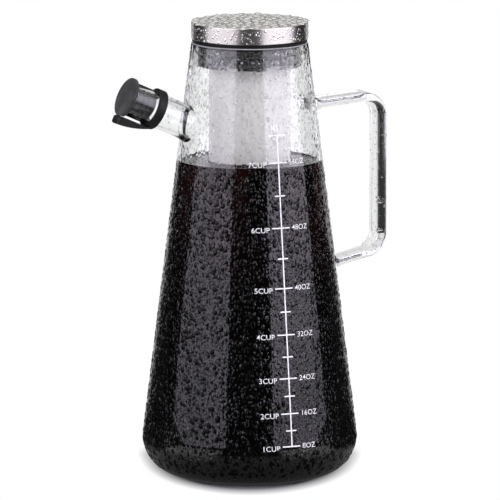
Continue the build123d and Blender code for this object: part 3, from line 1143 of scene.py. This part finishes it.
@dataclass
class Beads:
    """Water that stands in beads on a surface."""

    finish: Finish
    thin: int = 1                # every plan's count is divided by this
    skirt: float = 0.1           # how far a bead reaches into the surface
    sides: int = 8
    model_size: float = 1000.0   # radius at which a bead is turned, so that MM makes it 1
    apart: float = 1.1           # distance between two beads, as a share of touching

    def bead(self, contact: float) -> tuple[np.ndarray, list[list[int]]]:
        """Turn one bead of unit radius.

        Args:
            contact: Angle at which it meets the surface, in degrees.

        Returns:
            Its points and faces.
        """
        edge, size = math.radians(contact), self.model_size
        points = [(0.0, -self.skirt * size), (size, -self.skirt * size)]
        for share in (1.0, 0.68, 0.34):
            angle = edge * share
            points.append((size * math.sin(angle) / math.sin(edge),
                           size * (math.cos(angle) - math.cos(edge)) / math.sin(edge)))
        points.append((0.0, size * (1 - math.cos(edge)) / math.sin(edge)))
        model = Lathe(self.sides).turn("bead", points)
        places = np.array([point.co for point in model.data.vertices])
        faces = [list(face.vertices) for face in model.data.polygons]
        bpy.data.objects.remove(model)
        return places, faces

    def spots(self, surface: bpy.types.Object, wanted: Wanted, plan: Sprinkle) -> list[Spot]:
        """Choose where beads stand, largest first, so that none touches another."""
        count = plan.count // self.thin
        mesh = surface.data
        mesh.calc_loop_triangles()
        dice = np.random.default_rng(plan.seed)
        corners = np.array([[mesh.vertices[i].co[:] for i in t.vertices]
                            for t in mesh.loop_triangles])
        normals = np.array([[n[:] for n in t.split_normals] for t in mesh.loop_triangles])
        keep = [wanted(Vector(c) / MM, Vector(n).normalized())
                for c, n in zip(corners.mean(1), normals.mean(1))]
        corners, normals = corners[keep], normals[keep]
        sides = np.cross(corners[:, 1] - corners[:, 0], corners[:, 2] - corners[:, 0])
        area = np.linalg.norm(sides, axis=1)
        tries = count * 3 // 2
        chosen = dice.choice(len(area), tries, p=area / area.sum())
        u, v = dice.random(tries), dice.random(tries)
        over = u + v > 1
        u[over], v[over] = 1 - u[over], 1 - v[over]
        shares = np.stack([1 - u - v, u, v], 1)
        places = np.einsum("ij,ijk->ik", shares, corners[chosen])
        facing = np.einsum("ij,ijk->ik", shares, normals[chosen])
        radii = plan.smallest + (plan.largest - plan.smallest) * dice.random(tries) ** plan.skew
        kept: list[Spot] = []
        cells: dict[tuple[int, ...], list[Spot]] = {}
        size = 2.3 * plan.largest * MM
        for number in np.argsort(-radii):
            spot = Spot(Vector(places[number]), Vector(facing[number]).normalized(),
                        float(radii[number]) * MM)
            if not wanted(spot.place / MM, spot.normal):
                continue
            cell = tuple(math.floor(x / size) for x in spot.place)
            near = (other for i in (-1, 0, 1) for j in (-1, 0, 1) for k in (-1, 0, 1)
                    for other in cells.get((cell[0] + i, cell[1] + j, cell[2] + k), ()))
            if any((other.place - spot.place).length
                   < (other.radius + spot.radius) * self.apart for other in near):
                continue
            cells.setdefault(cell, []).append(spot)
            kept.append(spot)
            if len(kept) >= count:
                break
        return kept

    def sprinkle(self, surface: bpy.types.Object, wanted: Wanted,
                 plan: Sprinkle) -> bpy.types.Object:
        """Stand beads on a surface.

        Args:
            surface: The mesh they stand on.
            wanted: Says whether a bead may stand at a point with a normal.
            plan: The sprinkle.

        Returns:
            The beads as one piece, which rides with the surface.
        """
        shape, faces = self.bead(plan.contact)
        dice = np.random.default_rng(plan.seed + 100)
        points, rings = [], []
        for spot in self.spots(surface, wanted, plan):
            up = Vector((0, 0, 1)) - spot.normal * spot.normal.z
            up = up.normalized() if up.length > 0.05 else Vector((1, 0, 0))
            side = up.cross(spot.normal).normalized()
            turn = dice.uniform(-0.3, 0.3)
            along, across = up + side * turn, side - up * turn
            tall = 1 + plan.run * dice.random()
            narrow = 1 - plan.taper * dice.random() * shape[:, 1:2]
            bead = shape * np.hstack([narrow, np.ones_like(narrow), np.ones_like(narrow)])
            axes = np.array([across, along * tall, spot.normal]) * spot.radius
            start = len(points) * len(shape)
            points.append(bead @ axes + np.array(spot.place))
            rings += [[start + index for index in face] for face in faces]
        mesh = bpy.data.meshes.new(plan.name)
        mesh.from_pydata(np.concatenate(points).tolist(), [], rings)
        drops = bpy.data.objects.new(plan.name, mesh)
        bpy.context.scene.collection.objects.link(drops)
        with whole_mesh(drops):
            bpy.ops.mesh.normals_make_consistent(inside=False)
        smooth(drops, 40)
        self.finish.dress(drops)
        log.info("%s: %d beads", plan.name, len(points))
        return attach(drops, plan.body)


# --- Studio ----------------------------------------------------------------------------------
@dataclass(frozen=True)
class Panel:
    """A glowing panel that faces the part. Lengths are in metres."""

    name: str
    angle: float                 # degrees to the right of the camera, seen from the part
    distance: float              # from the part's axis
    width: float
    high: float                  # its upper edge
    glow: tuple[float, float]    # brightness below and above the ramp
    ramp: tuple[float, float]    # heights between which the brightness changes
    low: float = 0.02            # its lower edge


PANELS = (
    Panel("softbox_left", -59.2, 1.1, 1.47, 1.30, (1.35, 2.2), (0.07, 0.26)),
    Panel("softbox_right", 59.2, 1.1, 1.47, 1.30, (1.4, 2.8), (0.07, 0.26)),
    Panel("edge_strip_left", -148.5, 0.8, 0.05, 0.30, (0.0, 3.5), (0.02, 0.30)),
    Panel("edge_strip_right", 148.5, 0.8, 0.05, 0.30, (0.0, 3.5), (0.02, 0.30)),
)


@dataclass
class Studio:
    """White table, white surroundings, two softboxes, two edge strips and a long lens."""

    camera_at: tuple[float, float, float] = (-2.0485, -4.7795, 0.947)     # metres
    heading: float = 23.2        # degrees from +Y toward +X
    pitch: float = 0.155         # radians below level
    focal_pixels: float = 8820.2
    frame_pixels: float = 500.0
    centre_pixel: float = 249.7
    table_radius: float = 2.4    # metres
    lamp_colour: Colour = (1.0, 0.955, 1.09, 1)
    shade_back: float = 0.078    # metres from the part's axis back to the painted floor shadow's middle
    shade_reach: float = 0.140   # half the painted shadow's length, in metres
    shade_side: float = 0.0605   # half its width, in metres
    dark_angle: float = -123.0   # where a dark patch is painted on the table for rays that left the glass
    bounces: int = 24

    def toward(self, angle: float) -> Vector:
        """Return the level direction that lies angle degrees to the right of the camera."""
        turn = math.radians(-90 - self.heading + angle)
        return Vector((math.cos(turn), math.sin(turn), 0))

    def lens(self) -> None:
        """Set up the camera."""
        data = bpy.data.cameras.new("lens")
        data.sensor_width = 36.0
        data.lens = self.focal_pixels / self.frame_pixels * data.sensor_width
        data.shift_x = (self.frame_pixels / 2 - self.centre_pixel) / self.frame_pixels
        data.clip_end = 50
        camera = bpy.data.objects.new("lens", data)
        camera.location = self.camera_at
        camera.rotation_euler = (math.pi / 2 - self.pitch, 0, math.radians(-self.heading))
        bpy.context.scene.collection.objects.link(camera)
        bpy.context.scene.camera = camera

    def light(self, plan: Panel) -> None:
        """Stand a panel that the lens doesn't see."""
        deselect()
        way = self.toward(plan.angle)
        centre = way * plan.distance + Vector((0, 0, (plan.low + plan.high) / 2))
        facing = math.atan2(way.y, way.x) + math.pi / 2
        bpy.ops.mesh.primitive_plane_add(
            size=1, location=centre, rotation=(math.pi / 2, 0, facing))
        bpy.context.object.scale = (plan.width, plan.high - plan.low, 1)
        panel = newest(plan.name)
        material = bpy.data.materials.new(plan.name)
        net = Wiring(material)
        net.finish(net.glow(net.spread(net.height(), *plan.ramp, *plan.glow),
                            self.lamp_colour))
        panel.data.materials.append(material)
        panel.visible_camera = False
        panel.visible_shadow = False

    def see_through(self, net: Wiring) -> Socket:
        """Return 1 for what the lens sees directly or straight through glass."""
        path = net.add("LightPath").outputs
        straight = net.sum("LESS_THAN", path["Glossy Depth"], 0.5)
        through = net.times(path["Is Transmission Ray"], straight)
        return net.sum("MAXIMUM", path["Is Camera Ray"], through)

    def inside(self, net: Wiring, level) -> Socket:
        """Return a brightness for rays that have been inside glass, and 0 for others."""
        depth = net.get("LightPath", output="Transmission Depth")
        return net.times(net.sum("GREATER_THAN", depth, 0.5), level)

    def table_shown(self, net: Wiring, away: Socket, front: Socket, across: Socket) -> Socket:
        """Return what the lens sees of the table: white, with a shade under the part that is
        partly painted.

        Args:
            net: The table's material.
            away: Distance from the part's axis.
            front: How far a place lies toward the lens.
            across: How far it lies to the right of the lens.
        """
        deep = net.sum("DIVIDE", net.sum("ADD", front, self.shade_back), self.shade_reach)
        wide = net.sum("DIVIDE", across, self.shade_side)
        painted_shadow_oval = net.sum("SQRT", net.sum("ADD", net.times(deep, deep), net.times(wide, wide)))
        # Inside the painted shadow's ellipse and near the foot the table shows the shade;
        # elsewhere it is plain white.
        near = net.times(net.spread(painted_shadow_oval, 1.10, 1.24, 1, 0),
                         net.spread(away, 0.088, 0.112, 1, 0))
        open_sky = net.get("AmbientOcclusion", {"Distance": 0.08}, "AO", samples=8)
        # The shade is the lighter of ambient occlusion and a painted shadow, an ellipse round the
        # foot.
        shade = net.sum("MAXIMUM", net.spread(open_sky, 0.75, 1.0, 0.01, 0.85),
                        net.spread(painted_shadow_oval, 0.955, 1.14, 0.01, 0.85))
        paper = net.get("BsdfDiffuse", {"Color": grey(0.25)})
        return net.mix(near, net.glow(1.0), net.get("AddShader", {0: paper, 1: net.glow(shade)}))

    def table_mirrored(self, net: Wiring, here: Socket, away: Socket, front: Socket) -> Socket:
        """Return how bright the table glows in reflections and from inside the glass: painted
        reflections and painted shade.

        Args:
            net: The table's material.
            here: The place on the table.
            away: Distance from the part's axis.
            front: How far the place lies toward the lens.
        """
        ahead = net.sum("DIVIDE", front, away)
        # painted reflection: the softboxes, mirrored in the table, as glow
        lamp = net.times(net.spread(ahead, 0.86, 0.92, 1.25, 0.0),
                         net.spread(ahead, 0.10, 0.25, 0.0, 1.0))
        far = net.times(lamp, net.spread(away, 0.22, 0.38, 1, 0))
        far = net.sum("MAXIMUM", net.sum("ADD", far, 0.03),
                      net.spread(ahead, -0.97, -0.80, 0.95, 0.0))
        # painted shade: the table is darker in reflections near the part
        near = net.spread(away, 0.05, 0.085, 0.08, 0.34)
        mirrored = net.spread(away, 0.085, 0.125, near, far)
        # painted shade: a dark patch toward dark_angle, and light behind the part, for rays from
        # inside the glass
        side = net.sum("DIVIDE", net.along(here, self.toward(self.dark_angle)), away)
        inside = net.times(net.spread(side, 0.92, 0.96, 1.0, 0.02),
                           net.spread(ahead, -0.3, 0.6, 0.95, 0.09))
        return net.sum("MAXIMUM", mirrored, self.inside(net, inside))

    def table(self) -> None:
        """Lay the white table, which keeps the part's shadow, partly painted, and glows in
        painted reflections.
        """
        deselect()
        bpy.ops.mesh.primitive_circle_add(vertices=96, radius=self.table_radius,
                                          fill_type="NGON", location=(0, 0, 0))
        table = newest("table")
        material = bpy.data.materials.new("table_white")
        net = Wiring(material)
        here = net.place()
        away = net.get("VectorMath", {0: here}, 1, operation="LENGTH")
        front, across = (net.along(here, self.toward(angle)) for angle in (0, 90))
        path = net.add("LightPath").outputs
        bent = net.sum("MAXIMUM", path["Is Glossy Ray"], path["Is Transmission Ray"])
        other = net.mix(bent, net.get("BsdfDiffuse", {"Color": grey(0.8)}),
                        net.glow(self.table_mirrored(net, here, away, front)))
        net.finish(net.mix(self.see_through(net), other,
                           self.table_shown(net, away, front, across)))
        table.data.materials.append(material)

    def surroundings(self) -> None:
        """Set the world: white to the lens and through glass, a dim studio in reflections."""
        world = bpy.data.worlds.new("studio")
        bpy.context.scene.world = world
        net = Wiring(world)
        way = net.get("TexCoord", output="Generated")
        height, back = net.parts(way)[2], net.along(way, self.toward(180))
        wall = net.times(net.spread(back, 0.955, 0.985, 0, 1.5),
                         net.spread(height, 0.0, 0.05, 0, 1))
        ceiling = net.spread(height, 0.4, 0.85, 0.0, 1.1)
        dim = net.sum("ADD", net.sum("MAXIMUM", wall, ceiling), 0.012)
        dim = net.sum("MAXIMUM", dim, self.inside(net, net.spread(back, 0.1, 0.5, 0.1, 0.95)))
        path = net.add("LightPath").outputs
        soft = net.times(path["Is Diffuse Ray"], 0.22)
        room = net.get("Background", {"Strength": net.sum("ADD", dim, soft)})
        beyond = net.sum("MAXIMUM", path["Is Camera Ray"],
                         net.spread(back, 0.30, 0.62, 0.1, 0.8))
        white = net.get("Background", {"Color": grey(1), "Strength": beyond})
        net.finish(net.mix(self.see_through(net), room, white), "OutputWorld")

    def build(self) -> None:
        """Set up the whole studio."""
        self.lens()
        self.table()
        for plan in PANELS:
            self.light(plan)
        self.surroundings()
        scene = bpy.context.scene
        scene.view_settings.view_transform = "Standard"
        for limit in ("max_bounces", "transmission_bounces", "transparent_max_bounces"):
            setattr(scene.cycles, limit, self.bounces)


# --- The nodes that keep their shape ---------------------------------------------------------
@dataclass
class Fittings:
    """The lid, filter and stopper: their nodes keep their shape and get their finish."""

    steel: BrushedSteel = BrushedSteel("brushed_lid_steel")
    mesh: SteelMesh = SteelMesh("woven_mesh")
    collar: Silicone = WetSilicone("collar_silicone", 0.008, 0.45, 0.02)
    # The stopper is one silicone moulding: the cap's lighter shade and stronger bloom are painted
    # light, the strap's darker shade is painted shade.
    cap: Silicone = Silicone("cap_silicone_painted_light", 0.022, 0.5, 0.12)
    strap: Silicone = Silicone("strap_silicone_painted_shade", 0.005, 0.5, 0.02)
    plastic: Plastic = Plastic("lid_plastic")

    def dress(self, nodes: dict[str, bpy.types.Object]) -> None:
        """Give each CAD node its finish, by name."""
        finishes = {
            "lid_shell": self.steel, "filter_rim": self.steel, "filter_base": self.steel,
            "filter_sleeve": self.mesh, "filter_collar": self.collar, "lid_seal": self.collar,
            "stopper_ring": self.strap, "stopper_cap": self.cap,
            "lid_core": self.plastic,
        }
        for name, finish in finishes.items():
            finish.dress(nodes[name])
            log.info("%s: %s", name, finish.name)


# --- Where drops may stand -------------------------------------------------------------------
@dataclass
class Wet:
    """Says which water may stand where on the vessel."""

    form: CarafeForm
    spout: Spout
    scale: Scale
    lowest: float = 6.0
    highest: float = 257.0
    rounding_top: float = 26.0   # below this the glass curves in, so any distance will do
    on_skin: float = 0.3         # how near the flank a drop on the cone has to be
    off_skin: float = 1.5        # how far out the handle and spout begin
    line_half: float = 1.6       # half the width kept for the scale's line
    word_half: float = 19.0      # half the width kept for a row of words
    row_half: float = 3.4        # half the height kept for it
    bare_spout: tuple[float, float] = (-34.0, -23.0)   # between weld and ring, from the lip
    spout_skin: float = 10.0     # radius outside which a place is on the spout's outside

    def beyond(self, place: Vector) -> float:
        """Return how far a place lies outside the flank."""
        return place.xy.length - self.form.flank(place.z)

    def on_flank(self, place: Vector, normal: Vector) -> bool:
        """Say whether a place is on the outside of the cone."""
        outward = place.x * normal.x + place.y * normal.y > 0
        return outward and self.lowest < place.z < self.highest and (
            place.z < self.rounding_top or abs(self.beyond(place)) < self.on_skin)

    def printed(self, place: Vector) -> bool:
        """Say whether a place is on the printed scale."""
        across = abs(math.atan2(place.x, -place.y) * self.form.flank(place.z))
        rows = min(abs(place.z - height) for height in self.scale.cups.values())
        return across < self.line_half or (across < self.word_half and rows < self.row_half)

    def over_coffee(self, place: Vector, normal: Vector) -> bool:
        """Say whether only coffee stands behind a place on the cone."""
        return self.on_flank(place, normal) and place.z < self.form.fill and (
            not self.printed(place))

    def over_clear(self, place: Vector, normal: Vector) -> bool:
        """Say whether clear glass or the print stands behind a place on the cone."""
        return self.on_flank(place, normal) and (
            place.z > self.form.fill + 1 or self.printed(place))

    def on_handle(self, place: Vector, normal: Vector) -> bool:
        """Say whether a place is on the handle."""
        return place.x > 0 and self.beyond(place) > self.off_skin

    def on_spout(self, place: Vector, normal: Vector) -> bool:
        """Say whether a place is on the spout, below the stopper's ring."""
        if place.x >= 0 or self.beyond(place) <= self.off_skin:
            return False
        seat = self.spout.seat()
        off, axis = place - seat.translation / MM, seat.col[2].xyz
        weld, ring = self.bare_spout
        return weld < off.dot(axis) < ring and off.cross(axis).length > self.spout_skin


LEVEL, UPRIGHT = 0.9, 0.1        # a face whose normal's Z is over the one, or under the other
LID_TOP, LID_ROUNDING, LID_RADIUS = 271.0, 270.5, 34.5


def on_lid_top(place: Vector, normal: Vector) -> bool:
    """Say whether a place is on top of the lid."""
    return normal.z > LEVEL and place.z > LID_TOP


def on_lid_side(place: Vector, normal: Vector) -> bool:
    """Say whether a place is on the outside of the lid's skirt."""
    return abs(normal.z) < UPRIGHT and place.xy.length > LID_RADIUS and place.z < LID_ROUNDING


def main() -> None:
    """Build and dress every piece, in order."""
    logging.basicConfig(level=logging.INFO, format="%(name)s: %(message)s")
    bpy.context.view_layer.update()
    form = CarafeForm()
    spout, scale = Spout(form), Scale(form)
    nodes = frame["nodes"]
    Studio().build()
    Fittings().dress(nodes)
    vessel = Vessel(form, Handle(form), spout).build()
    for maker in (Plug(spout), Brew(form), scale):
        log.info("%s made", maker.build().name)

    few = 1
    lid = nodes["lid_shell"]
    clear = Beads(Water("water"), few)
    dark = Beads(DarkWater("water_over_coffee"), few)
    steel = Beads(SteelWater("water_on_steel"), few)
    wet = Wet(form, spout, scale)
    sprinkles = [
        (clear, vessel, wet.over_clear, Sprinkle("drops_on_clear_glass", "carafe", 1700,
                                                 0.36, 1.35, 2.6, 18.0, 0.7, seed=3)),
        (clear, vessel, wet.on_handle, Sprinkle("drops_on_handle", "carafe", 200,
                                                0.3, 0.9, 2.0, run=0.5, seed=6)),
        (clear, vessel, wet.on_spout, Sprinkle("drops_on_spout", "carafe", 30,
                                               0.4, 1.0, 1.5, 15.0, 0.4, seed=7)),
        *((dark, vessel, wet.over_coffee,
           Sprinkle(f"drops_over_coffee_{number}", "carafe", 2300,
                    0.42, 1.5, 2.8, 24.0, 0.6, seed=10 + number)) for number in (1, 2, 3)),
        (steel, lid, on_lid_top, Sprinkle("drops_on_lid_top", "lid", 600,
                                          0.6, 2.2, 1.0, 46.0, 0.5, 0.2, 4)),
        (steel, lid, on_lid_side, Sprinkle("drops_on_lid_side", "lid", 420,
                                           0.22, 0.8, 2.4, 24.0, 0.6, 0.3, 5)),
    ]
    for beads, surface, wanted, plan in sprinkles:
        beads.sprinkle(surface, wanted, plan)


if __name__ == "__main__":
    main()
